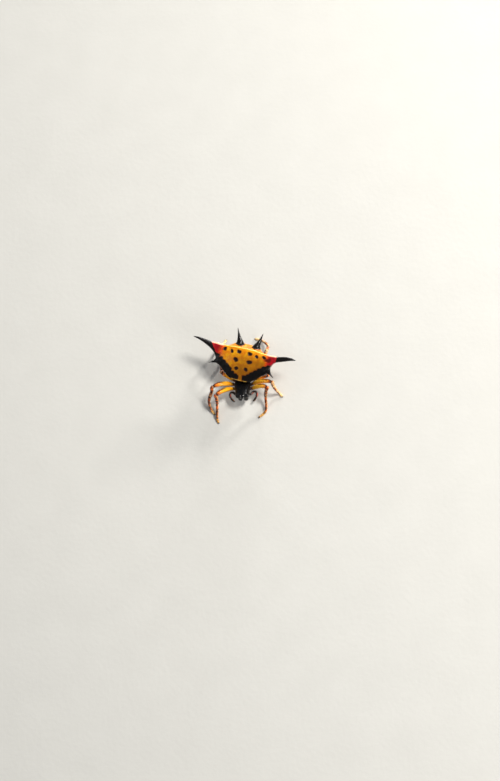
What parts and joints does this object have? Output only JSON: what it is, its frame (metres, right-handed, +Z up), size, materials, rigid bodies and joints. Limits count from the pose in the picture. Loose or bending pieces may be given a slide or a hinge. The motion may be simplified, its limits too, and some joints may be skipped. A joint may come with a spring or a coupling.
{
  "type": "spiny orb weaver, life size",
  "caption": "Still, life-size female spiny orb weaver standing on its feet: broad hard abdomen with long side spines, black front body, banded legs.",
  "frame": {"origin": "middle of the footprint, on the floor under the feet", "axes": "+Z up, -Y the way the head faces, +X the animal's left side"},
  "size_m": [0.0174, 0.0154, 0.006],
  "materials": {
    "abdomen_shell": "hard waxy shell, orange-yellow with crimson spine bases, black spines, black band and sunken black spots",
    "spinnerets": "dull dark brown, finely haired",
    "carapace_shell": "glossy black with short pale hairs",
    "eye": "smooth, wet-looking dark lens",
    "jaw_shell": "glossy black",
    "palp_shell": "satin dark red-brown, finely bristled",
    "leg_shell": "satin orange and rust with dark rings, finely bristled"
  },
  "bodies": {
    "root": {"abdomen": "abdomen_shell", "spinnerets": "spinnerets", "cephalothorax": "carapace_shell", "leg_1_left": "leg_shell", "leg_1_right": "leg_shell", "leg_2_left": "leg_shell", "leg_2_right": "leg_shell", "leg_3_left": "leg_shell", "leg_3_right": "leg_shell", "leg_4_left": "leg_shell", "leg_4_right": "leg_shell", "palp_left": "palp_shell", "palp_right": "palp_shell", "chelicera_left": "jaw_shell", "chelicera_right": "jaw_shell", "eye_front_middle_left": "eye", "eye_front_middle_right": "eye", "eye_front_side_left": "eye", "eye_front_side_right": "eye", "eye_rear_middle_left": "eye", "eye_rear_middle_right": "eye", "eye_rear_side_left": "eye", "eye_rear_side_right": "eye"}
  },
  "joints": []
}
